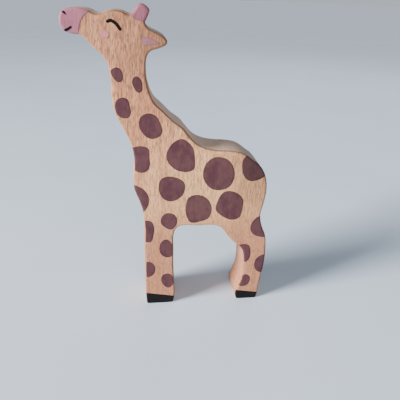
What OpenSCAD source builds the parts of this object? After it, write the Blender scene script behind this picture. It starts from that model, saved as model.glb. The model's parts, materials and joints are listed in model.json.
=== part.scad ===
// Standing toy giraffe: one sawn hardwood plank with its head raised and its eyes shut,
// rounded along every edge, with brown spots, pink muzzle and horns, and black hooves
// painted on both flat faces. It looks towards -X and its feet stand on z = 0.

/* [Silhouette] */
// Height of the belly above the ground
leg_h = 56; // [46:1:70]
// Depth of the trunk, from the belly to the top of the back
trunk_h = 49; // [40:1:58]
// Height of the neck and head, from the back to the tip of the horn
neck_h = 75.5; // [60:0.5:92]
// How far the muzzle reaches out in front of the chest
head_reach = 33.5; // [28:0.5:42]
// Length of the trunk and legs, from the chest to the heel
trunk_l = 83; // [68:0.5:100]

/* [Plank] */
// Thickness of the plank
thickness = 24; // [14:1:40]
// Radius that every edge is rounded to
edge_r = 1.2; // [0.6:0.1:1.6]

/* [Paint] */
// Thickness of the paint
paint_t = 0.2; // [0.1:0.05:0.5]
// Height of the black paint at the toe of the front hoof
front_hoof_toe = 8.5; // [5:0.5:14]
// Height of the black paint at the heel of the front hoof
front_hoof_heel = 5; // [3:0.5:12]
// Height of the black paint at the toe of the hind hoof
hind_hoof_toe = 7; // [5:0.5:14]
// Height of the black paint at the heel of the hind hoof
hind_hoof_heel = 4.5; // [3:0.5:12]
// Radius of the pink cheek
cheek_r = 2.1; // [1:0.1:3]
// Width of the brush stroke of the shut eye
eye_stroke = 1.6; // [0.6:0.1:2]
// Width of the brush stroke of the mouth
mouth_stroke = 1.1; // [0.5:0.1:1.6]
// Width of the nostril at its round end
nostril_stroke = 1.5; // [0.8:0.1:2]

/* [Hidden] */

// Colours
BEECH = [0.80, 0.65, 0.52];
SPOT_BROWN = [0.42, 0.28, 0.30];
PINK = [0.74, 0.53, 0.57];
PALE_PINK = [0.84, 0.64, 0.62];
BLACK = [0.08, 0.07, 0.08];

// Straight pieces that a curve has between two of its points
OUTLINE_STEPS = 3;
SPOT_STEPS = 4;
STROKE_STEPS = 4;
// Straight pieces in the quarter round of an edge, and in the round end of a stroke
EDGE_STEPS = 3;
END_STEPS = 8;

overall_h = leg_h + trunk_h + neck_h;
overall_l = head_reach + trunk_l;

// The figure is drawn on a grid of x and z. These are its ground, belly, back and horn tip,
// and its muzzle tip, chest and heel: between them the grid stretches to the sizes above.
GRID_Z = [0, 56, 105, 180.5];
SIZE_Z = [0, leg_h, leg_h + trunk_h, overall_h];
GRID_X = [-40, -6.5, 76.5];
SIZE_X = [-head_reach, 0, trunk_l];

// From the toe of the front hoof up the front of the figure, over the head, down the back
// of the neck and over the rump to the heel of the hind hoof. The feet are drawn a little
// too long: once the edges are rounded, the soles are sanded flat at z = 0.
FRONT_TO_HEEL = [
    // front leg and chest
    [0, -0.7], [-0.5, 5], [-1, 20], [-1, 40], [-1, 58], [-1.5, 67], [-3.5, 74],
    [-6, 81], [-6.5, 88], [-5.5, 95], [-6, 104],
    // front of the neck and throat
    [-8, 111], [-12, 119.5], [-15, 126], [-16.5, 134], [-16.5, 143], [-17.5, 151],
    [-20, 155.5], [-24, 159], [-27.5, 163],
    // chin, muzzle and brow
    [-30.5, 165.5], [-35, 166], [-39, 168.5], [-40, 172.5], [-38.5, 176.5], [-34, 178],
    [-27.5, 177.5], [-21.5, 175.5], [-14.5, 177.5], [-9.5, 177], [-5.5, 175.5],
    // horn
    [-3, 177.5], [-1.5, 180], [0.5, 180.5], [3, 179.5], [4.5, 177.5], [3, 174], [2, 171.5],
    // ear
    [4, 169], [9.5, 166.5], [13, 164], [13, 161.5], [9, 159.5], [4.5, 158],
    // back of the neck
    [2.5, 155], [2, 148], [3, 140], [6, 132], [11, 127], [16.5, 121.5],
    [22, 117.5], [26, 112.5],
    // back and rump
    [30, 108.5], [35, 106], [42, 104.5], [50, 104], [57, 102.5], [63, 98.5],
    [68.5, 94], [72, 88], [73.5, 80], [72.5, 70],
    // hind leg
    [71, 62], [72.5, 54.5], [75.5, 47], [76.5, 38], [76.5, 30], [75.5, 20], [74, 9],
    [73.5, 4], [72.5, -0.7]
];

// From the toe of the hind hoof up to the belly and down to the heel of the front hoof
UNDER_BELLY = [
    [59.5, -0.7], [58.5, 3.5], [59.5, 8], [62, 15.5], [62.5, 25], [61.5, 36.5],
    [59, 40.5], [54, 44.5], [50, 49.5], [46.5, 54], [42, 56], [32, 56], [23.5, 56.5],
    [19, 55], [17, 50], [17, 40], [17, 28], [17.5, 17], [18, 7], [17.5, 4], [16.5, -0.7]
];

// Outlines of the painted spots on the same grid. A spot that runs off the figure is cut
// where the edge starts to round.
NECK_SPOTS = [
    [[-13.5, 150], [-11, 149], [-10, 146], [-10.5, 143], [-13, 142.5], [-15.5, 145.5], [-16, 148.5]],
    [[-2.5, 145.5], [-0.5, 143.5], [0, 140], [-0.5, 137.5], [-2.5, 137], [-4.5, 139.5], [-5.5, 142.5],
     [-4.5, 145]],
    [[-11, 134.5], [-8, 133.5], [-7, 130], [-6.5, 126], [-8, 123.5], [-11.5, 123.5], [-14.5, 126],
     [-15, 129], [-14, 133]],
    [[3, 126], [7, 124.5], [9.5, 120], [10.5, 116], [9, 113], [4.5, 111.5], [0.5, 113.5], [-2.5, 119],
     [-1.5, 124]]
];
SHOULDER_SPOTS = [
    [[-9, 106], [-5.5, 107], [-1.5, 107.5], [2.5, 106], [3, 101], [3, 95], [1.5, 92.5], [-1.5, 91.5],
     [-5, 92.5], [-9, 93]],
    [[21.5, 111.5], [25.5, 109], [28, 105.5], [29, 99], [28.5, 93], [23.5, 91.5], [18, 93], [13.5, 97.5],
     [12.5, 102.5], [16, 109]],
    [[13, 89], [19, 88], [23, 85], [23.5, 81], [21.5, 76], [15.5, 73], [10.5, 75], [8, 80.5], [9, 87]],
    [[-9, 85.5], [-5.5, 84], [-1, 81.5], [2, 77], [2, 71.5], [0.5, 68.5], [-1.5, 66.5], [-6, 68],
     [-9, 76]],
    [[13, 65.5], [17, 64.5], [19, 61.5], [18.5, 57], [15.5, 54], [12, 55.5], [9, 59], [10, 63.5]]
];
FLANK_SPOTS = [
    [[42.5, 100.5], [48, 99], [51.5, 95], [53, 88.5], [50, 81.5], [43.5, 79.5], [38, 81.5], [34, 88],
     [35, 95.5], [38.5, 99.5]],
    [[57.5, 99], [60.5, 101.5], [66, 101], [73, 93], [72, 88.5], [67, 85.5], [62.5, 85], [59, 87.5],
     [57, 93.5]],
    [[30, 77], [35.5, 75.5], [39, 71.5], [40, 66], [38, 61], [33, 59], [27.5, 58.5], [25, 62], [24, 68],
     [25.5, 75]],
    [[49.5, 79], [55, 77.5], [59, 73.5], [59, 66.5], [57.5, 61], [52.5, 59.5], [47, 62], [42.5, 66.5],
     [43, 71.5], [46, 77.5]]
];
FRONT_LEG_SPOTS = [
    [[-4, 60], [-0.5, 61], [3.5, 60], [5, 56.5], [4.5, 50], [3, 46], [-0.5, 46], [-4, 47]],
    [[12.5, 47.5], [15, 45.5], [16.5, 41], [16, 35.5], [12.5, 34.5], [9, 37], [8, 41.5], [9.5, 46]],
    [[-4, 31], [0.5, 32], [4, 30.5], [5.5, 26.5], [4, 22], [0.5, 20.5], [-4, 22]],
    [[12.5, 22.5], [15.5, 21.5], [17, 17], [16, 13], [13.5, 11.5], [10, 14.5], [9, 18.5], [10, 21.5]]
];
HIND_LEG_SPOTS = [
    [[73, 61], [69, 61], [66, 57.5], [65, 53], [67, 49], [71, 47], [77, 47], [80, 54]],
    [[57, 40.5], [61, 42], [65, 41], [66.5, 36], [66, 31], [63.5, 28.5], [60, 29], [56, 35]],
    [[80, 33.5], [73, 33], [70, 29.5], [70, 24], [73, 20.5], [80, 20.5]],
    [[65, 19], [67.5, 17], [67, 12], [64.5, 10], [60, 10.5], [59.5, 15], [62, 18.5]]
];

// Pink parts of the head: the muzzle ahead of its curved border, the horn above its own,
// and the hollow of the ear
MUZZLE_BORDER = [[-22.5, 180], [-25, 176.5], [-28, 174], [-29.5, 171.5], [-30.5, 168.5], [-31, 164]];
MUZZLE_FRONT = [[-46, 164], [-46, 180]];
HORN_BORDER = [[-7.5, 177.5], [-5, 175], [-2.5, 173], [0, 172.5], [5, 171.5]];
HORN_TOP = [[9, 171.5], [9, 186], [-7.5, 186]];
INNER_EAR = [[0, 163], [1, 165], [3.5, 165], [7, 163.5], [9.5, 162], [7, 161.5], [3.5, 161], [1, 161]];

// Brush strokes and the cheek
EYE_PATH = [[-16.5, 172], [-15, 172.5], [-13, 171.5], [-11.5, 170], [-10.5, 168.5]];
MOUTH_PATH = [[-38, 167.5], [-36, 168], [-34.5, 169]];
NOSTRIL_PATH = [[-38, 176.5], [-36.5, 175]];
CHEEK = [-18, 166];
// Width of the nostril at its thin end, as a share of its round end
NOSTRIL_TAPER = 0.5;

// Where the two hooves start and end on the grid, with room to spare on both sides
FRONT_HOOF_X = [-1, 18];
HIND_HOOF_X = [58.5, 74];
HOOF_SPARE = 4;

// The value that v on the grid takes, straight between the marks and on past the last ones
function stretch(v, grid, sizes) =
    let (last = len(grid) - 2)
    let (inner = [for (i = [0:last]) if (v >= grid[i]) i])
    let (k = len(inner) == 0 ? 0 : inner[len(inner) - 1])
    sizes[k] + (v - grid[k]) * (sizes[k + 1] - sizes[k]) / (grid[k + 1] - grid[k]);

function on_grid(points) =
    [for (p = points) [stretch(p[0], GRID_X, SIZE_X), stretch(p[1], GRID_Z, SIZE_Z)]];

// One stretch of a centripetal Catmull-Rom curve, from b to c with a and d beyond them
function knot(a, b) = sqrt(max(norm(b - a), 0.001));
function blend(p, q, t, from, to) = (p * (to - t) + q * (t - from)) / (to - from);
function curve_point(a, b, c, d, u) =
    let (t1 = knot(a, b), t2 = t1 + knot(b, c), t3 = t2 + knot(c, d))
    let (t = t1 + (t2 - t1) * u)
    let (ab = blend(a, b, t, 0, t1), bc = blend(b, c, t, t1, t2), cd = blend(c, d, t, t2, t3))
    blend(blend(ab, bc, t, 0, t2), blend(bc, cd, t, t1, t3), t, t1, t2);

// A curve from the first point to the last
function open_curve(p, steps) =
    let (n = len(p), q = concat([2 * p[0] - p[1]], p, [2 * p[n - 1] - p[n - 2]]))
    concat([for (i = [1:n - 1], s = [0:steps - 1])
               curve_point(q[i - 1], q[i], q[i + 1], q[i + 2], s / steps)],
           [p[n - 1]]);

// A curve through all the points and back to the first
function closed_curve(p, steps) =
    let (n = len(p))
    [for (i = [0:n - 1], s = [0:steps - 1])
        curve_point(p[(i + n - 1) % n], p[i], p[(i + 1) % n], p[(i + 2) % n], s / steps)];

// Left-hand normal of the way from a to b
function normal(a, b) = [a[1] - b[1], b[0] - a[0]] / norm(b - a);

// A closed outline that runs clockwise, moved in by d, square to its own edges
function inset(p, d) =
    let (n = len(p))
    [for (i = [0:n - 1])
        let (m = normal(p[(i + n - 1) % n], p[i]), k = normal(p[i], p[(i + 1) % n]))
        p[i] - (m + k) * d / (1 + m * k)];

// Outline of a round-ended stroke along a path, w0 wide at its start and w1 at its end
function stroke(p, w0, w1) =
    let (n = len(p) - 1)
    let (side = [for (i = [0:n]) normal(p[max(i - 1, 0)], p[min(i + 1, n)]) * (w0 + (w1 - w0) * i / n) / 2])
    let (first = normal(p[0], p[1]), last = normal(p[n - 1], p[n]))
    concat([for (i = [0:n]) p[i] + side[i]],
           [for (k = [1:END_STEPS - 1]) p[n] + turned(last, -180 * k / END_STEPS) * w1 / 2],
           [for (i = [0:n]) p[n - i] - side[n - i]],
           [for (k = [1:END_STEPS - 1]) p[0] - turned(first, -180 * k / END_STEPS) * w0 / 2]);
function turned(v, a) = [v[0] * cos(a) - v[1] * sin(a), v[0] * sin(a) + v[1] * cos(a)];

// The silhouette as drawn, then brought to its exact size over the middle of its own length
drawn = concat(open_curve(on_grid(FRONT_TO_HEEL), OUTLINE_STEPS),
               open_curve(on_grid(UNDER_BELLY), OUTLINE_STEPS));
drawn_x = [min([for (p = drawn) p[0]]), max([for (p = drawn) p[0]])];
drawn_top = max([for (p = drawn) p[1]]);
function placed(points) =
    [for (p = points) [(p[0] - (drawn_x[0] + drawn_x[1]) / 2) * overall_l / (drawn_x[1] - drawn_x[0]),
                       p[1] * overall_h / drawn_top]];

silhouette = placed(drawn);

// The outline at some depth of the rounded edge, with the soles sanded flat
function sanded(d) = [for (p = inset(silhouette, d)) [p[0], max(p[1], 0)]];

flat_face = sanded(edge_r);

// The plank: rings of the silhouette across the thickness, drawn in along the rounded edges
module body() {
    quarter = [for (k = [0:EDGE_STEPS]) 90 * k / EDGE_STEPS];
    front = [for (a = quarter) [edge_r * (1 - sin(a)), -thickness / 2 + edge_r * (1 - cos(a))]];
    back = [for (k = [0:EDGE_STEPS]) [front[EDGE_STEPS - k][0], -front[EDGE_STEPS - k][1]]];
    rings = concat(front, back);
    n = len(silhouette);
    points = [for (ring = rings, p = sanded(ring[0])) [p[0], ring[1], p[1]]];
    near = [for (i = [0:n - 1]) n - 1 - i];
    far = [for (i = [0:n - 1]) (len(rings) - 1) * n + i];
    sides = [for (r = [0:len(rings) - 2], i = [0:n - 1])
        [r * n + i, r * n + (i + 1) % n, (r + 1) * n + (i + 1) % n, (r + 1) * n + i]];
    color(BEECH)
        resize([overall_l, thickness, overall_h])
            polyhedron(points = points, faces = concat([near, far], sides), convexity = 8);
}

// A layer of paint on one flat face, kept off the rounded edge. The left face looks to -Y.
// Layer 0 lies on the wood, and layer 1 on the paint of layer 0.
module paint(side, layer = 0) {
    y = side == "left" ? -thickness / 2 - layer * paint_t : thickness / 2 + (layer + 1) * paint_t;
    translate([0, y, 0])
        rotate([90, 0, 0])
            linear_extrude(height = paint_t)
                intersection() {
                    polygon(flat_face);
                    children();
                }
}

module spots(side, outlines) {
    color(SPOT_BROWN)
        for (outline = outlines)
            paint(side) polygon(placed(closed_curve(on_grid(outline), SPOT_STEPS)));
}

// Paint from the ground up to a line between two heights, drawn on past both ends
module hoof(side, span, toe_h, heel_h) {
    slope = (heel_h - toe_h) / (span[1] - span[0]);
    x0 = span[0] - HOOF_SPARE;
    x1 = span[1] + HOOF_SPARE;
    x = [for (p = placed(on_grid([[x0, 0], [x1, 0]]))) p[0]];
    z0 = toe_h - slope * HOOF_SPARE;
    z1 = heel_h + slope * HOOF_SPARE;
    color(BLACK)
        paint(side) polygon([[x[0], -1], [x[0], z0], [x[1], z1], [x[1], -1]]);
}

module front_hoof_paint(side) {
    hoof(side, FRONT_HOOF_X, front_hoof_toe, front_hoof_heel);
}

module hind_hoof_paint(side) {
    hoof(side, HIND_HOOF_X, hind_hoof_toe, hind_hoof_heel);
}

module muzzle_paint(side) {
    border = open_curve(on_grid(MUZZLE_BORDER), STROKE_STEPS);
    color(PINK)
        paint(side) polygon(placed(concat(border, on_grid(MUZZLE_FRONT))));
}

module horn_paint(side) {
    border = open_curve(on_grid(HORN_BORDER), STROKE_STEPS);
    color(PINK)
        paint(side) polygon(placed(concat(border, on_grid(HORN_TOP))));
}

module inner_ear(side) {
    color(PINK)
        paint(side) polygon(placed(closed_curve(on_grid(INNER_EAR), SPOT_STEPS)));
}

module cheek(side) {
    color(PALE_PINK)
        paint(side) translate(placed(on_grid([CHEEK]))[0]) circle(r = cheek_r, $fn = 32);
}

module brush_stroke(side, layer, path, w0, w1) {
    color(BLACK)
        paint(side, layer) polygon(stroke(placed(open_curve(on_grid(path), STROKE_STEPS)), w0, w1));
}

module eye(side) {
    brush_stroke(side, 0, EYE_PATH, eye_stroke, eye_stroke);
}

module nostril(side) {
    brush_stroke(side, 1, NOSTRIL_PATH, nostril_stroke, nostril_stroke * NOSTRIL_TAPER);
}

module mouth(side) {
    brush_stroke(side, 1, MOUTH_PATH, mouth_stroke, mouth_stroke);
}

body();
muzzle_paint("left");  // muzzle_paint_left
muzzle_paint("right");  // muzzle_paint_right
horn_paint("left");  // horn_paint_left
horn_paint("right");  // horn_paint_right
inner_ear("left");  // inner_ear_left
inner_ear("right");  // inner_ear_right
cheek("left");  // cheek_left
cheek("right");  // cheek_right
eye("left");  // eye_left
eye("right");  // eye_right
nostril("left");  // nostril_left
nostril("right");  // nostril_right
mouth("left");  // mouth_left
mouth("right");  // mouth_right
spots("left", NECK_SPOTS);  // neck_spots_left
spots("right", NECK_SPOTS);  // neck_spots_right
spots("left", SHOULDER_SPOTS);  // shoulder_spots_left
spots("right", SHOULDER_SPOTS);  // shoulder_spots_right
spots("left", FLANK_SPOTS);  // flank_spots_left
spots("right", FLANK_SPOTS);  // flank_spots_right
spots("left", FRONT_LEG_SPOTS);  // front_leg_spots_left
spots("right", FRONT_LEG_SPOTS);  // front_leg_spots_right
spots("left", HIND_LEG_SPOTS);  // hind_leg_spots_left
spots("right", HIND_LEG_SPOTS);  // hind_leg_spots_right
front_hoof_paint("left");  // front_hoof_paint_left
front_hoof_paint("right");  // front_hoof_paint_right
hind_hoof_paint("left");  // hind_hoof_paint_left
hind_hoof_paint("right");  // hind_hoof_paint_right
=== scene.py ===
"""Looks of the standing wooden giraffe: a sanded beech plank with hand-painted faces.

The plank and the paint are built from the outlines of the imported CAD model."""
import json
import math
import bpy
import numpy as np
from mathutils import Matrix, Vector, noise
from mathutils.kdtree import KDTree
from mathutils.geometry import delaunay_2d_cdt


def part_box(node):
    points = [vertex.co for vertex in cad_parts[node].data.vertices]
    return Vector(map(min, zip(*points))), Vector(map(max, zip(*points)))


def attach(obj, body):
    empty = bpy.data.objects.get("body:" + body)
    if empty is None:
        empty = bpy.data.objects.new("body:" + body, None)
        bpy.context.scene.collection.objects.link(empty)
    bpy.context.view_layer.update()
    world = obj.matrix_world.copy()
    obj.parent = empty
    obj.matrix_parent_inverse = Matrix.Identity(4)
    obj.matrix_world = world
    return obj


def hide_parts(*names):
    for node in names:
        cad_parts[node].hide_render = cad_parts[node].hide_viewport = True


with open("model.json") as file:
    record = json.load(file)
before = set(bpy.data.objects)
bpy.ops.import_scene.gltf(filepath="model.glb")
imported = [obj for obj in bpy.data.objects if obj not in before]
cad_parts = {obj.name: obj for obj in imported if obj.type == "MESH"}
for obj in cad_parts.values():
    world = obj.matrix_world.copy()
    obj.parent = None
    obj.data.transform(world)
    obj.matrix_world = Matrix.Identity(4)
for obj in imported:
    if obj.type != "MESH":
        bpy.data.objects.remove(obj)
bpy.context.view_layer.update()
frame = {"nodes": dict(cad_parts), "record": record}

MM = 0.001

# Camera: place in metres in the row frame, angles in degrees
CAMERA_PLACE = (-0.0203, -0.2554, 0.1840)
CAMERA_YAW = 8.1       # turned from +Y towards +X
CAMERA_PITCH = 24.2    # looking down
CAMERA_ROLL = 1.8      # right side up
CAMERA_LENS = 40.5     # millimetres
CAMERA_SENSOR = 36     # millimetres wide
CAMERA_CLIP = (0.01, 200)

# Floor and light: places and sizes in metres, powers in watts
FLOOR_HALF = 60.0
FIGURE_MIDDLE = (0, 0, 0.06)
WINDOW_PLACE = (-0.84, -0.29, 0.43)
WINDOW_WHITE = (1.0, 0.985, 0.965)
SKY_WHITE = (0.86, 0.93, 1.0)
DAYLIGHT_STRENGTH = 6.0
DAYLIGHT_ANGLE = 21                    # how wide its source looks, in degrees, which softens shadows
SOFT_LIGHTS = {                        # place, size, power and colour
    "window": (WINDOW_PLACE, (0.34, 0.34), 10, WINDOW_WHITE),
    "fill": ((-0.15, -1.1, 0.6), (1.0, 0.8), 3.0, (0.95, 0.975, 1.0)),
    "right_fill": ((1.0, -0.1, 0.5), (0.8, 0.8), 2.0, (0.95, 0.97, 1.0)),
    "sky": ((0.45, 0.85, 0.95), (0.9, 0.9), 3.8, SKY_WHITE),
}
ROOM_HEIGHTS = (0.15, 0.55)            # upward part of a direction, between which the room darkens
ROOM_BRIGHTNESS = (0.6, 0.03)          # below those heights and above them

# Shape of the plank, in millimetres
OUTLINE_STEP = 0.35
OUTLINE_SOFTENING = 0.45
EDGE_SEGMENTS = 7
EDGE_UNEVENNESS = 0.16                 # of the rounding's radius
EDGE_WAVE = 11.0                       # length of that unevenness
EDGE_SOFTENING = 1.5                   # length over which the radius goes from one value to another
EDGE_IN_CORNER = 0.75                  # most of a convex corner's own radius that its edge is rounded to
EDGE_TIGHTEST = 0.35                   # and the least radius there
SOLE_EDGE = 0.45                       # radius along the soles
SOLE_HEIGHT = 0.5                      # no sole reaches above it
FACE_MARGIN = 0.3                      # flat strip between the rounding and the cap's triangles
WALL_SEGMENTS = 12
SANDING_DEPTH = 0.05
SANDING_WAVE = 7.0
CAP_GRID = 1.6                         # pitch of the points on the flat faces

# Shape of the paint, in millimetres
PAINT_STEP = 0.3
PAINT_SOFTENING = 0.25
PAINT_GRID = 0.4
PAINT_UNDERSIDE = -0.07                # height over the wood, so it is sunk in
# Height over the wood at each distance from the paint's edge
PAINT_PROFILE = [(0.0, -0.03), (0.08, 0.05), (0.2, 0.11), (0.4, 0.13), (0.8, 0.10)]
COARSER_FROM = 0.3                     # distance from which the profile's rows have half the points
TOUCH = 0.04                           # paint this near to the flat face's edge runs on over it
REACH_UNEVENNESS = 0.3                 # of the reach over the edge
REACH_WAVE = 2.3                       # length of that unevenness
MEETING_LENGTH = 0.8                   # stretch of the outline that shows how it meets the edge
MEETING_SHALLOWEST = 0.45              # least outward part of that direction
MEETING_SLANT = 1.6                    # most that an end goes sideways for each step outward
END_GAP = 0.15                         # between an end and the stretch that keeps the reach

# Where each kind of unevenness is read in the noise
EDGE_SEED, SANDING_SEED, REACH_SEED = 3.7, 1.3, 5.1


# ---------------------------------------------------------------- camera, floor and light

def make_camera():
    yaw, pitch, roll = (math.radians(a) for a in (CAMERA_YAW, CAMERA_PITCH, CAMERA_ROLL))
    level = Vector((math.sin(yaw), math.cos(yaw), 0))
    ahead = level * math.cos(pitch) - Vector((0, 0, math.sin(pitch)))
    right = Vector((math.cos(yaw), -math.sin(yaw), 0))
    up = right.cross(ahead)
    tilted_right = right * math.cos(roll) + up * math.sin(roll)
    tilted_up = up * math.cos(roll) - right * math.sin(roll)
    data = bpy.data.cameras.new("camera")
    data.sensor_width = CAMERA_SENSOR
    data.lens = CAMERA_LENS
    data.clip_start, data.clip_end = CAMERA_CLIP
    camera = bpy.data.objects.new("camera", data)
    axes = Matrix((tilted_right, tilted_up, -ahead)).transposed()
    camera.matrix_world = Matrix.Translation(CAMERA_PLACE) @ axes.to_4x4()
    bpy.context.scene.collection.objects.link(camera)
    bpy.context.scene.camera = camera


def add_light(name, kind, place, colour):
    """A light at a place, aimed at the middle of the figure. Returns its data."""
    data = bpy.data.lights.new(name, kind)
    data.color = colour
    light = bpy.data.objects.new(name, data)
    light.location = place
    light.rotation_euler = (Vector(FIGURE_MIDDLE) - Vector(place)).to_track_quat("-Z", "Y").to_euler()
    bpy.context.scene.collection.objects.link(light)
    return data


def make_daylight():
    """Parallel light from the window's side, which lights the floor evenly out to the horizon."""
    data = add_light("daylight", "SUN", WINDOW_PLACE, WINDOW_WHITE)
    data.energy = DAYLIGHT_STRENGTH
    data.angle = math.radians(DAYLIGHT_ANGLE)


def make_soft_light(name, place, size, power, colour):
    data = add_light(name, "AREA", place, colour)
    data.shape = "RECTANGLE"
    data.size, data.size_y = size
    data.energy = power


def make_room():
    """The light of the room around: brighter at the height of the eye than overhead."""
    world = bpy.data.worlds.new("world")
    world.use_nodes = True
    tree = world.node_tree
    room = tree.nodes["Background"]
    room.inputs["Color"].default_value = (*SKY_WHITE, 1)
    direction = put(tree, "ShaderNodeTexCoord").outputs["Generated"]
    upward = parts(tree, direction)["Z"]
    tree.links.new(span(tree, upward, *ROOM_HEIGHTS, *ROOM_BRIGHTNESS), room.inputs["Strength"])
    bpy.context.scene.world = world


def make_lights():
    make_daylight()
    for name, values in SOFT_LIGHTS.items():
        make_soft_light(name, *values)
    make_room()


def make_floor():
    half = FLOOR_HALF
    data = bpy.data.meshes.new("floor")
    corners = [(-half, -half, 0), (half, -half, 0), (half, half, 0), (-half, half, 0)]
    data.from_pydata(corners, [], [(0, 1, 2, 3)])
    floor = bpy.data.objects.new("floor", data)
    bpy.context.scene.collection.objects.link(floor)
    floor.data.materials.append(floor_material())


# ---------------------------------------------------------------- shader building blocks

def shader(name):
    material = bpy.data.materials.new(name)
    material.use_nodes = True
    return material, material.node_tree, material.node_tree.nodes["Principled BSDF"]


def put(tree, kind, inputs=(), **settings):
    """Adds a node. Inputs are (socket name or index, value or another node's socket)."""
    made = tree.nodes.new(kind)
    for key, value in settings.items():
        setattr(made, key, value)
    for key, value in inputs:
        if isinstance(value, bpy.types.NodeSocket):
            tree.links.new(value, made.inputs[key])
        else:
            made.inputs[key].default_value = value
    return made


def math_node(tree, operation, a, b=0.0):
    return put(tree, "ShaderNodeMath", [(0, a), (1, b)], operation=operation).outputs[0]


def times(tree, a, b):
    return math_node(tree, "MULTIPLY", a, b)


def vector_node(tree, operation, a, b):
    return put(tree, "ShaderNodeVectorMath", [(0, a), (1, b)], operation=operation).outputs[0]


def length_of(tree, vector):
    return put(tree, "ShaderNodeVectorMath", [(0, vector)], operation="LENGTH").outputs["Value"]


def parts(tree, vector):
    """The sockets X, Y and Z of a vector."""
    return put(tree, "ShaderNodeSeparateXYZ", [("Vector", vector)]).outputs


def place_on(tree):
    """Where the surface is in the shared frame, in metres."""
    return put(tree, "ShaderNodeTexCoord").outputs["Object"]


def facing(tree):
    """The sockets X, Y and Z of the surface's normal."""
    return parts(tree, put(tree, "ShaderNodeNewGeometry").outputs["Normal"])


def stored_value(tree, name):
    """A value that was stored on the mesh's points."""
    return put(tree, "ShaderNodeAttribute", attribute_name=name).outputs["Fac"]


def span(tree, value, low, high, to_low=0.0, to_high=1.0):
    """The value taken smoothly from low..high to to_low..to_high."""
    inputs = [("Value", value), ("From Min", low), ("From Max", high), ("To Min", to_low),
              ("To Max", to_high)]
    return put(tree, "ShaderNodeMapRange", inputs, interpolation_type="SMOOTHSTEP").outputs["Result"]


def mix_colour(tree, factor, a, b, blend="MIX"):
    made = put(tree, "ShaderNodeMix", [(0, factor), (6, a), (7, b)], data_type="RGBA", blend_type=blend)
    return made.outputs[2]


def stretched(tree, coordinates, periods):
    """Coordinates that run through one unit in each of the three periods, given in millimetres."""
    return vector_node(tree, "MULTIPLY", coordinates, tuple(1 / (p * MM) for p in periods))


def cloud(tree, coordinates, periods, detail=3.0, roughness=0.55):
    inputs = [("Vector", stretched(tree, coordinates, periods)), ("Scale", 1.0), ("Detail", detail),
              ("Roughness", roughness)]
    return put(tree, "ShaderNodeTexNoise", inputs).outputs["Fac"]


def bump(tree, bsdf, height, strength, depth):
    """Raises the surface by a height from 0 to 1, over a depth in millimetres."""
    inputs = [("Strength", strength), ("Distance", depth * MM), ("Height", height)]
    made = put(tree, "ShaderNodeBump", inputs)
    tree.links.new(made.outputs["Normal"], bsdf.inputs["Normal"])


def srgb(r, g, b):
    """A colour given as it looks on a screen, 0 to 255, as the shader wants it."""
    linear = [c / 255 / 12.92 if c <= 10.3 else ((c / 255 + 0.055) / 1.055) ** 2.4 for c in (r, g, b)]
    return (*linear, 1.0)


# ---------------------------------------------------------------- beech

# Where the tree, the painted sheen and the painted shade lie, in metres in the shared frame
PITH = (0.014, 0.17, 0.0)              # where the middle of the trunk stood
SHEEN_MIDDLE = (0.017, 0.0, 0.080)       # middle of the painted sheen, where the plank is palest
SHEEN_REACH = (0.010, 0.052)           # distances from it between which the painted sheen ends
LEG_HEIGHTS = (0.044, 0.074)           # where the painted shade of the legs goes over to the body
NECK_HEIGHTS = (0.11, 0.165)           # where the body goes over to the painted shade of the head
COARSE_HEIGHTS = (0.085, 0.14)         # where the grain grows stronger upward
GRAIN_STRENGTH = (0.7, 1.15)           # below those heights and above them
RUMP_HEIGHTS = (0.050, 0.085)          # heights and places along x that the painted shade on the rump begins between
RUMP_BACK = (0.026, 0.052)
HEAD_HEIGHTS = (0.130, 0.155)          # the same for the painted shade on the back of the head, with the horn and the ear
HEAD_BACK = (-0.040, 0.002)
GRAIN_TILT = (0.6, -1.6, 0.0)          # degrees that the grain leans from the vertical

# Periods of the wood's marks across the face, through it and along the grain, in millimetres
RING_WIDTH = 2.7
RING_WANDER = 3.2
WANDER_PERIODS = (14, 14, 90)
STREAK_PERIODS = (4.5, 4.5, 90)
PATCH_PERIODS = (38, 38, 70)
FIBRE_PERIODS = (0.8, 0.9, 10)
DASH_PERIODS = (0.8, 0.9, 3.6)
LONG_FLECK_PERIODS = (1.1, 1.3, 7.0)
SHORT_FLECK_PERIODS = (0.8, 1.0, 3.8)
PORE_PERIODS = (0.5, 0.5, 2.0)
FLECK_REACH = 0.26                     # of a fleck's period, from its middle to its edge
FLECK_SHARE = 0.6                      # of the places that have a fleck

WOOD = srgb(255, 186, 138)
STREAK = srgb(232, 156, 110)
PATCH = srgb(216, 141, 100)
# painted sheen: the pale wood in the middle of the body
SHEEN_WOOD = srgb(255, 196, 138)
# painted shade on the legs and on the head
SHADED_LEG_WOOD = srgb(184, 124, 92)
SHADED_HEAD_WOOD = srgb(188, 126, 92)
YEAR_LINE = srgb(178, 110, 78)
FIBRE = srgb(168, 112, 80)
DASH = srgb(132, 86, 60)
LONG_FLECK = srgb(108, 66, 44)
SHORT_FLECK = srgb(112, 70, 48)
# end grain, greyed and paled by a painted sheen of the room's light
END_SHEEN_DARK = srgb(172, 144, 122)
END_SHEEN_PALE = srgb(212, 186, 166)
# painted shade on the rounded edges
SHADED_EDGE = srgb(112, 74, 54)
SHADE_TONE = (0.56, 0.57, 0.56, 1.0)  # what the colour is multiplied by where shade is painted


def grain_coordinates(tree):
    turn = tuple(math.radians(a) for a in GRAIN_TILT)
    inputs = [("Vector", place_on(tree)), ("Rotation", turn)]
    return put(tree, "ShaderNodeMapping", inputs).outputs["Vector"]


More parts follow.
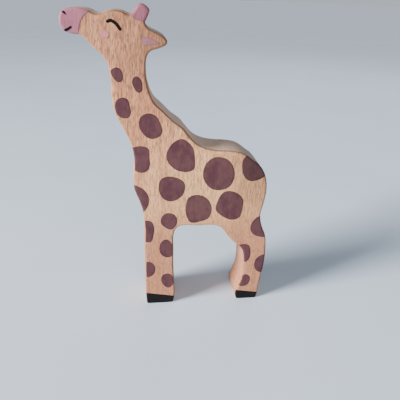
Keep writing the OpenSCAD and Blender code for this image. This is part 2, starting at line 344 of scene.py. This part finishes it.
def growth_rings(tree, grain):
    """0 in the pale early wood, 1 at the dark line where a year ends."""
    from_pith = vector_node(tree, "SUBTRACT", grain, PITH)
    radius = length_of(tree, vector_node(tree, "MULTIPLY", from_pith, (1, 1, 0.02)))
    wander = times(tree, cloud(tree, grain, WANDER_PERIODS, 2.0), RING_WANDER * MM)
    years = math_node(tree, "DIVIDE", math_node(tree, "ADD", radius, wander), RING_WIDTH * MM)
    return span(tree, math_node(tree, "FRACT", years), 0.25, 0.97)


def ray_flecks(tree, grain, periods):
    """Short dark dashes along the grain, as long and as wide as the periods allow."""
    inputs = [("Vector", stretched(tree, grain, periods)), ("Scale", 1.0), ("Randomness", 1.0)]
    cells = put(tree, "ShaderNodeTexVoronoi", inputs)
    dash = span(tree, cells.outputs["Distance"], FLECK_REACH, FLECK_REACH * 0.35)
    chance = put(tree, "ShaderNodeSeparateColor", [("Color", cells.outputs["Color"])]).outputs["Red"]
    return times(tree, dash, span(tree, chance, FLECK_SHARE, FLECK_SHARE + 0.25, 1.0, 0.0))


def sheen_and_shade_tone(tree, colour):
    """A painted sheen, with some of the wood's own tone, makes the plank palest in the middle of the body,
    and painted shade makes it browner towards the feet and the head.
    """
    where = place_on(tree)
    from_sheen = vector_node(tree, "SUBTRACT", where, SHEEN_MIDDLE)
    gap = length_of(tree, vector_node(tree, "MULTIPLY", from_sheen, (1, 0, 0.8)))
    height = parts(tree, where)["Z"]
    colour = mix_colour(tree, span(tree, gap, *SHEEN_REACH, 0.9, 0.0), colour, SHEEN_WOOD)
    colour = mix_colour(tree, span(tree, height, *LEG_HEIGHTS, 0.6, 0.0), colour, SHADED_LEG_WOOD)
    return mix_colour(tree, span(tree, height, *NECK_HEIGHTS, 0.0, 0.4), colour, SHADED_HEAD_WOOD)


def wood_ground(tree, grain):
    """The wood's colour before its small marks: streaks and patches, the painted sheen and shade, and the
    year lines.
    """
    streaks = span(tree, cloud(tree, grain, STREAK_PERIODS, 5.0, 0.6), 0.3, 0.72)
    patches = span(tree, cloud(tree, grain, PATCH_PERIODS, 1.0), 0.35, 0.7, 0.0, 0.35)
    colour = mix_colour(tree, streaks, WOOD, STREAK)
    colour = sheen_and_shade_tone(tree, mix_colour(tree, patches, colour, PATCH))
    return mix_colour(tree, times(tree, growth_rings(tree, grain), 0.25), colour, YEAR_LINE)


def fine_grain(tree, grain, fibres, colour):
    """Fibres and short dashes drawn into a colour, more strongly on the neck and the head."""
    strength = span(tree, parts(tree, grain)["Z"], *COARSE_HEIGHTS, *GRAIN_STRENGTH)
    fibre = times(tree, span(tree, fibres, 0.38, 0.62, 0.0, 0.65), strength)
    dashes = span(tree, cloud(tree, grain, DASH_PERIODS, 2.0, 0.55), 0.48, 0.64)
    colour = mix_colour(tree, fibre, colour, FIBRE)
    return mix_colour(tree, times(tree, dashes, times(tree, strength, 0.62)), colour, DASH)


def end_grain_and_sheen(tree, grain, colour):
    """Pale and dark pores where the surface cuts across the grain, on upward and downward faces, greyed and
    paled by a painted sheen.
    """
    cut = span(tree, math_node(tree, "ABSOLUTE", facing(tree)["Z"]), 0.35, 0.9)
    pores = span(tree, cloud(tree, grain, PORE_PERIODS, 2.0), 0.42, 0.62)
    # the end grain's colours carry a painted grey sheen
    return mix_colour(tree, times(tree, cut, 0.85), colour, mix_colour(tree, pores, END_SHEEN_DARK, END_SHEEN_PALE))


def painted_shade(tree, colour):
    """Painted shade: the horn, the ear and the rump are a shade darker than the rest."""
    where = parts(tree, place_on(tree))
    rump = times(tree, span(tree, where["Z"], *RUMP_HEIGHTS), span(tree, where["X"], *RUMP_BACK))
    back_of_head = times(tree, span(tree, where["Z"], *HEAD_HEIGHTS), span(tree, where["X"], *HEAD_BACK))
    shade = times(tree, math_node(tree, "MAXIMUM", rump, back_of_head), 0.95)
    return mix_colour(tree, shade, colour, SHADE_TONE, "MULTIPLY")


def beech(tree):
    """The wood's colour, and its relief for a bump, as two sockets."""
    grain = grain_coordinates(tree)
    fibres = cloud(tree, grain, FIBRE_PERIODS, 3.0, 0.7)
    long_flecks = ray_flecks(tree, grain, LONG_FLECK_PERIODS)
    short_flecks = ray_flecks(tree, grain, SHORT_FLECK_PERIODS)
    colour = fine_grain(tree, grain, fibres, wood_ground(tree, grain))
    colour = mix_colour(tree, times(tree, long_flecks, 0.6), colour, LONG_FLECK)
    colour = mix_colour(tree, times(tree, short_flecks, 0.5), colour, SHORT_FLECK)
    relief = math_node(tree, "SUBTRACT", fibres, times(tree, long_flecks, 0.8))
    # painted shade on the horn, the ear and the rump
    return painted_shade(tree, end_grain_and_sheen(tree, grain, colour)), relief


def beech_material():
    """Bare wood, with painted shade on the rounded edge, most where it looks back or up, away from the
    light.
    """
    material, tree, bsdf = shader("beech")
    colour, relief = beech(tree)
    way = facing(tree)
    behind = math_node(tree, "ADD", way["X"], times(tree, way["Z"], 0.8))
    # painted shade on the rounded edge, strongest where it faces back and up
    edge_shade = times(tree, stored_value(tree, "rounded"), span(tree, behind, -0.2, 0.7, 0.3, 0.85))
    tree.links.new(mix_colour(tree, edge_shade, colour, SHADED_EDGE), bsdf.inputs["Base Color"])
    tree.links.new(span(tree, relief, 0.2, 0.8, 0.62, 0.5), bsdf.inputs["Roughness"])
    bsdf.inputs["Specular IOR Level"].default_value = 0.4
    bump(tree, bsdf, relief, 0.25, 0.08)
    return material


# ---------------------------------------------------------------- paint and floor

BRUSH_PERIODS = (0.5, 0.5, 6.0)        # millimetres
MOTTLE_PERIODS = (5.0, 5.0, 7.0)
RIM_WIDTHS = (0.1, 0.9)                # millimetres from the paint's edge between which its rim fades
# Colours of the body, the rim and the brush streaks, how much the paint covers, and its roughness
PAINTS = {
    "spot_paint": (srgb(82, 50, 58), srgb(68, 39, 43), srgb(90, 59, 67), 0.95, 0.6),
    "pink_paint": (srgb(157, 93, 122), srgb(136, 74, 88), srgb(172, 112, 138), 0.8, 0.55),
    "thin_pink_paint": (srgb(176, 118, 142), srgb(156, 98, 110), srgb(190, 134, 156), 0.72, 0.55),
    "cheek_paint": (srgb(203, 128, 131), srgb(186, 108, 108), srgb(214, 144, 146), 0.8, 0.55),
    "line_paint": (srgb(12, 9, 10), srgb(8, 6, 7), srgb(18, 15, 17), 0.995, 0.45),
    "hoof_paint": (srgb(16, 13, 16), srgb(10, 8, 9), srgb(24, 21, 24), 0.995, 0.5),
}
FLOOR_TONES = (srgb(208, 223, 241), srgb(212, 227, 244))
FLOOR_PATCH = (160, 160, 160)          # millimetres
FLOOR_SPECK = (1.4, 1.4, 1.4)


def paint_material(name, body, rim, streak, cover, roughness):
    """Brushed paint: paler streaks, a stronger rim, and the wood showing through by 1 - cover."""
    material, tree, bsdf = shader(name)
    wood, relief = beech(tree)
    where = place_on(tree)
    brush = cloud(tree, where, BRUSH_PERIODS, 3.0, 0.6)
    mottle = cloud(tree, where, MOTTLE_PERIODS, 2.0)
    at_rim = span(tree, stored_value(tree, "from_edge"), *RIM_WIDTHS, 0.75, 0.0)
    covered = span(tree, mottle, 0.35, 0.7, cover, min(cover + 0.04, 1.0))
    colour = mix_colour(tree, span(tree, brush, 0.35, 0.75, 0.0, 0.45), body, streak)
    colour = mix_colour(tree, span(tree, mottle, 0.4, 0.7, 0.0, 0.35), colour, rim)
    # the paint gets the same painted shade on the horn, the ear and the rump
    colour = painted_shade(tree, mix_colour(tree, at_rim, colour, rim))
    tree.links.new(mix_colour(tree, covered, wood, colour), bsdf.inputs["Base Color"])
    rough = span(tree, brush, 0.3, 0.7, roughness - 0.05, roughness + 0.06)
    tree.links.new(rough, bsdf.inputs["Roughness"])
    bsdf.inputs["Specular IOR Level"].default_value = 0.15
    bump(tree, bsdf, math_node(tree, "ADD", times(tree, relief, 0.6), brush), 0.3, 0.06)
    return material


def floor_material():
    material, tree, bsdf = shader("pale_floor")
    soft = cloud(tree, place_on(tree), FLOOR_PATCH, 2.0)
    fine = cloud(tree, place_on(tree), FLOOR_SPECK, 2.0)
    colour = mix_colour(tree, span(tree, soft, 0.3, 0.7), *FLOOR_TONES)
    tree.links.new(colour, bsdf.inputs["Base Color"])
    tree.links.new(span(tree, fine, 0.3, 0.7, 0.56, 0.66), bsdf.inputs["Roughness"])
    bsdf.inputs["Specular IOR Level"].default_value = 0.25
    bump(tree, bsdf, fine, 0.08, 0.05)
    return material


# ---------------------------------------------------------------- outlines of the CAD nodes

def welded(name):
    """The node's points in millimetres with doubles joined, and its triangles."""
    data = frame["nodes"][name].data
    data.calc_loop_triangles()
    points = np.array([v.co for v in data.vertices]) / MM
    keys, index = np.unique(np.round(points, 4), axis=0, return_inverse=True)
    index = index.reshape(-1)
    triangles = np.array([[index[i] for i in t.vertices] for t in data.loop_triangles])
    return keys, triangles


def chained(edges):
    """Closed loops of point numbers from unordered edges."""
    after = {}
    for a, b in edges:
        after.setdefault(a, []).append(b)
        after.setdefault(b, []).append(a)
    loops = []
    while after:
        start = next(iter(after))
        loop, here, before = [start], start, None
        while True:
            onward = [p for p in after[here] if p != before]
            before, here = here, onward[0]
            if here == start:
                break
            loop.append(here)
        for p in loop:
            after.pop(p)
        loops.append(loop)
    return loops


def counted_edges(triangles):
    counts = {}
    for t in triangles:
        for a, b in ((t[0], t[1]), (t[1], t[2]), (t[2], t[0])):
            key = (min(a, b), max(a, b))
            counts[key] = counts.get(key, 0) + 1
    return counts


def anticlockwise(loop):
    x, z = loop[:, 0], loop[:, 1]
    area = np.sum(x * np.roll(z, -1) - np.roll(x, -1) * z) / 2
    return loop if area > 0 else loop[::-1]


def flat_loops(name, y):
    """Outlines, in x and z, of the node's flat faces in the plane y."""
    points, triangles = welded(name)
    level = np.abs(points[:, 1] - y) < 1e-3
    flat = [t for t in triangles if level[t].all()]
    rims = [edge for edge, count in counted_edges(flat).items() if count == 1]
    return [anticlockwise(points[loop][:, [0, 2]]) for loop in chained(rims)]


def ring_loop(name, y):
    """The outline that the node has at the height y of one of its rings of points."""
    points, triangles = welded(name)
    level = np.abs(points[:, 1] - y) < 1e-3
    edges = [edge for edge in counted_edges(triangles) if level[list(edge)].all()]
    return anticlockwise(points[max(chained(edges), key=len)][:, [0, 2]])


# ---------------------------------------------------------------- curves in the plane of the plank

def resampled(loop, step):
    closed = np.vstack([loop, loop[:1]])
    run = np.concatenate([[0], np.cumsum(np.linalg.norm(np.diff(closed, axis=0), axis=1))])
    count = max(12, round(run[-1] / step))
    at = np.linspace(0, run[-1], count, endpoint=False)
    return np.column_stack([np.interp(at, run, closed[:, 0]), np.interp(at, run, closed[:, 1])])


def softened(loop, reach, step):
    """The loop with its corners rounded off over about the reach."""
    for _ in range(max(1, round(2 * (reach / step) ** 2))):
        loop = (np.roll(loop, 1, 0) + 2 * loop + np.roll(loop, -1, 0)) / 4
    return loop


def outward(loop):
    """Unit normals that point out of an anticlockwise loop."""
    way = np.roll(loop, -1, 0) - np.roll(loop, 1, 0)
    way /= np.linalg.norm(way, axis=1)[:, None]
    return np.column_stack([way[:, 1], -way[:, 0]])


def nearest(points, targets):
    """For each point, the number of the nearest target and its distance."""
    tree = KDTree(len(targets))
    for i, target in enumerate(targets):
        tree.insert((target[0], target[1], 0), i)
    tree.balance()
    found = [tree.find((p[0], p[1], 0)) for p in points]
    return np.array([f[1] for f in found], int), np.array([f[2] for f in found])


def foot_points(points, loop):
    """For each point, the nearest place on a closed loop: the loop's segment and how far along it."""
    index, _ = nearest(points, loop)
    best = None
    for step in (-1, 0):
        first = (index + step) % len(loop)
        a, b = loop[first], loop[(first + 1) % len(loop)]
        along = b - a
        share = np.clip(np.sum((points - a) * along, 1) / np.maximum(np.sum(along ** 2, 1), 1e-12), 0, 1)
        gap = np.linalg.norm(points - a - along * share[:, None], axis=1)
        if best is None:
            best = (first, share, gap)
        else:
            closer = gap < best[2]
            best = tuple(np.where(closer, new, old) for new, old in zip((first, share, gap), best))
    return best


def along_loop(values, first, share):
    """Values of a loop's points, read between them."""
    after = values[(first + 1) % len(values)]
    if values.ndim == 2:
        share = share[:, None]
    return values[first] * (1 - share) + after * share


def wobble(loop, length, seed):
    """Smooth values around -0.5 to 0.5 along a loop, from noise in the plane."""
    return np.array([noise.noise(Vector((p[0] / length, p[1] / length, seed))) for p in loop])


def filled(boundary, inner):
    """Triangles over the inside of a boundary, using its points and then the inner ones.

    Where the boundary crosses itself, the triangles that need a new point are left out."""
    count = len(boundary)
    coordinates = [Vector(p) for p in np.vstack([boundary, inner])]
    edges = [(i, (i + 1) % count) for i in range(count)]
    result = delaunay_2d_cdt(coordinates, edges, [list(range(count))], 1, 1e-6)
    source = [ids[0] if ids else -1 for ids in result[3]]
    triangles = [[source[v] for v in face] for face in result[2]]
    return [t for t in triangles if -1 not in t]


def grid_inside(boundary, pitch, margin):
    """A staggered grid of points that are inside a boundary and at least the margin from it."""
    low, high = boundary.min(0), boundary.max(0)
    rows = np.arange(low[1], high[1], pitch * 0.87)
    grid = []
    for k, z in enumerate(rows):
        grid += [(x, z) for x in np.arange(low[0] + (k % 2) * pitch / 2, high[0], pitch)]
    grid = np.array(grid).reshape(-1, 2)
    if not len(grid):
        return grid
    after = np.roll(boundary, -1, 0)
    crossings = np.zeros(len(grid), int)
    for (x1, z1), (x2, z2) in zip(boundary, after):
        spans = (z1 > grid[:, 1]) != (z2 > grid[:, 1])
        if spans.any():
            crossing_x = x1 + (x2 - x1) * (grid[:, 1] - z1) / (z2 - z1 if z2 != z1 else 1e-9)
            crossings += spans & (grid[:, 0] < crossing_x)
    grid = grid[crossings % 2 == 1]
    if not len(grid):
        return grid
    return grid[nearest(grid, boundary)[1] > margin]


# ---------------------------------------------------------------- the plank

body_low, body_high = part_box("body")
HALF_T = (body_high.y - body_low.y) / 2 / MM


def plank_shape():
    """The silhouette, its normals, and the radius that each place of the edge is rounded to.

    The radius is smaller along the soles, which are sanded flat, and at tight corners."""
    points, _ = welded("body")
    wall = np.abs(points[:, 1]).min()
    loop = ring_loop("body", -wall)
    loop = softened(resampled(loop, OUTLINE_STEP), OUTLINE_SOFTENING, OUTLINE_STEP)
    out = outward(loop)
    radius = (HALF_T - wall) * (1 + EDGE_UNEVENNESS * 2 * wobble(loop, EDGE_WAVE, EDGE_SEED))
    along = np.column_stack([-out[:, 1], out[:, 0]])
    turning = np.sum(np.roll(out, -2, 0) * along, 1) / (2 * OUTLINE_STEP)
    in_corner = EDGE_IN_CORNER / np.maximum(turning, 1e-3)
    sole = (out[:, 1] < -0.8) & (loop[:, 1] < SOLE_HEIGHT)
    radius = np.minimum(radius, np.where(sole, SOLE_EDGE, np.maximum(in_corner, EDGE_TIGHTEST)))
    return loop, out, softened(radius[:, None], EDGE_SOFTENING, OUTLINE_STEP)[:, 0]


silhouette, silhouette_out, edge_radius = plank_shape()
flat_edge = silhouette - silhouette_out * edge_radius[:, None]


def plank_rings():
    """Rings of points from the left flat face, round the edge and over the wall, to the right flat face."""
    quarter = [math.pi / 2 * k / EDGE_SEGMENTS for k in range(EDGE_SEGMENTS, -1, -1)]
    margin = edge_radius + FACE_MARGIN
    rings = [(silhouette - silhouette_out * margin[:, None], np.full(len(silhouette), -HALF_T))]
    for angle in quarter:
        inset = edge_radius * (1 - math.cos(angle))
        depth = edge_radius * (1 - math.sin(angle))
        rings.append((silhouette - silhouette_out * inset[:, None], -HALF_T + depth))
    wall_low = -HALF_T + edge_radius
    for k in range(1, WALL_SEGMENTS):
        share = k / WALL_SEGMENTS
        y = wall_low * (1 - 2 * share)
        sanding = SANDING_DEPTH * (wobble(silhouette, SANDING_WAVE, SANDING_SEED + share) - 0.5)
        sanding = sanding * min(1.0, 4 * share, 4 * (1 - share))
        rings.append((silhouette + silhouette_out * sanding[:, None], y))
    rings += [(loop, -y) for loop, y in reversed(rings[:len(quarter) + 1])]
    return rings


def make_object(name, points, faces, material):
    """A smooth-shaded mesh object from points in millimetres."""
    data = bpy.data.meshes.new(name)
    places = [tuple(p) for p in points * MM]
    data.from_pydata(places, [], [tuple(int(i) for i in f) for f in faces])
    data.polygons.foreach_set("use_smooth", [True] * len(data.polygons))
    data.materials.append(material)
    data.validate()
    made = bpy.data.objects.new(name, data)
    bpy.context.scene.collection.objects.link(made)
    return made


def add_values(made, name, values):
    layer = made.data.attributes.new(name, "FLOAT", "POINT")
    layer.data.foreach_set("value", np.asarray(values, dtype=np.float32))


def make_plank(material):
    rings = plank_rings()
    count = len(silhouette)
    points, rounded = [], []
    for k, (loop, y) in enumerate(rings):
        points.append(np.column_stack([loop[:, 0], y, loop[:, 1]]))
        from_face = min(k, len(rings) - 1 - k) - 1
        rounded.append(np.full(count, math.sin(math.pi * min(1.0, max(from_face, 0) / EDGE_SEGMENTS))))
    faces = []
    for k in range(len(rings) - 1):
        for i in range(count):
            j = (i + 1) % count
            faces.append(((k + 1) * count + i, (k + 1) * count + j, k * count + j, k * count + i))
    rim = rings[0][0]
    inner = grid_inside(rim, CAP_GRID, CAP_GRID * 0.5)
    cap = filled(rim, inner)
    start = len(rings) * count
    for side, first_ring in ((-1, 0), (1, (len(rings) - 1) * count)):
        points.append(np.column_stack([inner[:, 0], np.full(len(inner), side * HALF_T), inner[:, 1]]))
        rounded.append(np.zeros(len(inner)))
        number = [first_ring + v if v < count else start + v - count for v in range(count + len(inner))]
        for a, b, c in cap:
            triangle = (number[a], number[b], number[c])
            faces.append(triangle if side < 0 else triangle[::-1])
        start += len(inner)
    plank = make_object("beech_plank", np.vstack(points), faces, material)
    add_values(plank, "rounded", np.concatenate(rounded))
    return plank


# ---------------------------------------------------------------- the paint

def kept_on(plane, height):
    """Points that would stand clear of the plank's silhouette, brought back to a height over it."""
    first, share, _ = foot_points(plane, silhouette)
    out = along_loop(silhouette_out, first, share)
    beyond = np.sum((plane - along_loop(silhouette, first, share)) * out, axis=1)
    return plane - out * np.maximum(beyond - height, 0)[:, None]


def wrapped(flat, height, side):
    """Points of the unrolled face, laid on the plank and round its edge, and raised by a height."""
    first, share, gap = foot_points(flat, flat_edge)
    foot = along_loop(flat_edge, first, share)
    out = along_loop(silhouette_out, first, share)
    radius = along_loop(edge_radius, first, share)
    away = flat - foot
    over = np.sum(away * out, axis=1) > 0
    clear = (over & (gap > 0.1))[:, None]
    way = np.where(clear, away / np.maximum(gap, 1e-6)[:, None], out)
    way /= np.linalg.norm(way, axis=1)[:, None]
    angle = np.minimum(gap / radius, math.pi / 2)
    past = np.maximum(gap - radius * math.pi / 2, 0)
    on_edge = foot + way * ((radius + height) * np.sin(angle))[:, None]
    depth = radius * (1 - np.cos(angle)) + past - height * np.cos(angle)
    plane = kept_on(np.where(over[:, None], on_edge, flat), height)
    y = np.where(over, depth, -height) - HALF_T
    return np.column_stack([plane[:, 0], -side * y, np.maximum(plane[:, 1], 0)])


def unit(v):
    return v / max(np.linalg.norm(v), 1e-9)


def run_on(before, run, out, reach):
    """Where the paint's outline goes on over the edge: its two free ends run on as they came,
    and between them it keeps the reach from the edge of the flat face."""
    at = np.concatenate([[0], np.cumsum(np.linalg.norm(np.diff(run, axis=0), axis=1))])
    slants, directions = [], []
    for came_from, here, tangent, normal in ((before[0], run[0], run[1] - run[0], out[0]),
                                             (before[1], run[-1], run[-2] - run[-1], out[-1])):
        heading, tangent = unit(here - came_from), unit(tangent)
        steep = max(float(heading @ normal), MEETING_SHALLOWEST)
        slant = float(np.clip(heading @ tangent / steep, -MEETING_SLANT, MEETING_SLANT))
        slants.append(slant)
        directions.append(normal + tangent * slant)
    closing = (slants[0] + slants[1]) * reach.mean()
    scale = min(1.0, 0.85 * at[-1] / closing) if closing > 0 else 1.0
    tips = [here + way * reach.mean() * scale for here, way in zip((run[0], run[-1]), directions)]
    low = max(slants[0], 0) * reach.mean() * scale + END_GAP
    high = at[-1] - max(slants[1], 0) * reach.mean() * scale - END_GAP
    middle = (run + out * reach[:, None] * scale)[(at > low) & (at < high)]
    return np.vstack([tips[0][None], middle, tips[1][None]])


def drawn_outline(loop, reach, fine):
    """The paint's outline, run on over the rounded edge where it meets the edge of the flat face."""
    step = PAINT_STEP * fine
    loop = resampled(loop, step)
    _, _, gap = foot_points(loop, CAD_FLAT_EDGE)
    at_edge = gap < TOUCH
    if at_edge.any() and not at_edge.all() and reach > 0:
        loop = np.roll(loop, -int(np.argmin(at_edge)), 0)
        at_edge = np.roll(at_edge, -int(np.argmin(at_edge)))
        first, share, _ = foot_points(loop, flat_edge)
        foot, out = along_loop(flat_edge, first, share), along_loop(silhouette_out, first, share)
        reaches = reach * (1 + REACH_UNEVENNESS * wobble(loop, REACH_WAVE, REACH_SEED))
        look = max(2, round(MEETING_LENGTH / step))
        pieces, i = [], 0
        while i < len(loop):
            if not at_edge[i]:
                pieces.append(loop[i:i + 1])
                i += 1
                continue
            j = i
            while j < len(loop) and at_edge[j]:
                j += 1
            if j - i > 3:
                before = (loop[max(i - look, 0)], loop[(j - 1 + look) % len(loop)])
                pieces.append(run_on(before, foot[i:j], out[i:j], reaches[i:j]))
            i = j
        loop = np.vstack(pieces)
    return softened(resampled(loop, step), PAINT_SOFTENING * fine, step)


def paint_patch(outline, side, fine, lift):
    """One closed, thin, domed patch: its points, faces and distances from the paint's edge."""
    rows = [outline]
    normals = outward(outline)
    for offset, _ in PAINT_PROFILE[1:]:
        ring = outline - normals * offset * fine
        _, gap = nearest(ring, outline)
        rows.append(ring[gap > offset * fine * 0.93][::2 if offset > COARSER_FROM else 1])
    grid = grid_inside(outline, PAINT_GRID, (PAINT_PROFILE[-1][0] + 0.2) * fine)
    if len(grid):
        first, share, gap = foot_points(grid, flat_edge)
        foot, out = along_loop(flat_edge, first, share), along_loop(silhouette_out, first, share)
        on_flat = (np.sum((grid - foot) * out, 1) < 0) & (gap > 2 * PAINT_GRID)
        grid = grid[~on_flat | (np.arange(len(grid)) % 4 == 0)]
    flat = np.vstack(rows + [grid])
    top_faces = filled(outline, flat[len(outline):])
    _, gap = nearest(flat, resampled(outline, 0.05))
    gap[:len(outline)] = 0
    profile = np.array(PAINT_PROFILE)
    height = np.interp(gap, profile[:, 0] * fine, profile[:, 1]) + lift
    top = wrapped(flat, height, side)
    bottom = wrapped(flat, np.full(len(flat), PAINT_UNDERSIDE), side)
    count, rim = len(flat), len(outline)
    faces = [tuple(t) for t in top_faces] + [tuple(v + count for v in reversed(t)) for t in top_faces]
    faces += [((i + 1) % rim, i, i + count, (i + 1) % rim + count) for i in range(rim)]
    if side > 0:
        faces = [tuple(reversed(f)) for f in faces]
    return np.vstack([top, bottom]), faces, np.concatenate([gap, gap])


def make_paint(node, reach, fine, lift, material):
    """The paint that stands for one CAD node, patch by patch."""
    low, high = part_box(node)
    side = 1 if low.y > 0 else -1
    outer = (high.y if side > 0 else low.y) / MM
    points, faces, gaps, start = [], [], [], 0
    for loop in flat_loops(node, outer):
        patch, patch_faces, gap = paint_patch(drawn_outline(loop, reach, fine), side, fine, lift)
        points.append(patch)
        gaps.append(gap)
        faces += [tuple(v + start for v in f) for f in patch_faces]
        start += len(patch)
    made = make_object("painted_" + node, np.vstack(points), faces, material)
    add_values(made, "from_edge", np.concatenate(gaps))
    return made


CAD_FLAT_EDGE = flat_loops("body", -HALF_T)[0]
QUARTER_ROUND = float(edge_radius.mean()) * math.pi / 2
# How far each kind of paint runs over the rounded edge, the scale of its steps and its domed rim, and
# how much higher than on the wood it lies
PAINT_KINDS = {
    "muzzle_paint": (QUARTER_ROUND, 1.0, 0.0),
    "horn_paint": (QUARTER_ROUND, 1.0, 0.0),
    "inner_ear": (0.0, 0.6, 0.0),
    "cheek": (0.0, 0.8, 0.0),
    "eye": (0.0, 0.4, 0.03),
    "nostril": (QUARTER_ROUND * 0.5, 0.4, 0.13),
    "mouth": (QUARTER_ROUND * 0.7, 0.3, 0.13),
    "neck_spots": (QUARTER_ROUND * 0.3, 1.0, 0.0),
    "shoulder_spots": (QUARTER_ROUND * 0.75, 1.0, 0.0),
    "flank_spots": (QUARTER_ROUND * 0.8, 1.0, 0.0),
    "front_leg_spots": (QUARTER_ROUND * 0.3, 1.0, 0.0),
    "hind_leg_spots": (QUARTER_ROUND * 0.7, 1.0, 0.0),
    "front_hoof_paint": (QUARTER_ROUND, 1.0, 0.0),
    "hind_hoof_paint": (QUARTER_ROUND, 1.0, 0.0),
}
OTHER_PAINTS = {"inner_ear": "thin_pink_paint"}        # where the record's material isn't the paint


# ---------------------------------------------------------------- put together

def main():
    make_camera()
    make_lights()
    make_floor()
    plank = make_plank(beech_material())
    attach(plank, "root")
    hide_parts("body")
    materials = {name: paint_material(name, *look) for name, look in PAINTS.items()}
    slots = {s["node"]: s["material_slot"] for s in frame["record"]["subparts"]}
    for kind, (reach, fine, lift) in PAINT_KINDS.items():
        for side in ("left", "right"):
            node = f"{kind}_{side}"
            material = materials[OTHER_PAINTS.get(kind, slots[node])]
            piece = make_paint(node, reach, fine, lift, material)
            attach(piece, "root")
            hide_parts(node)


main()
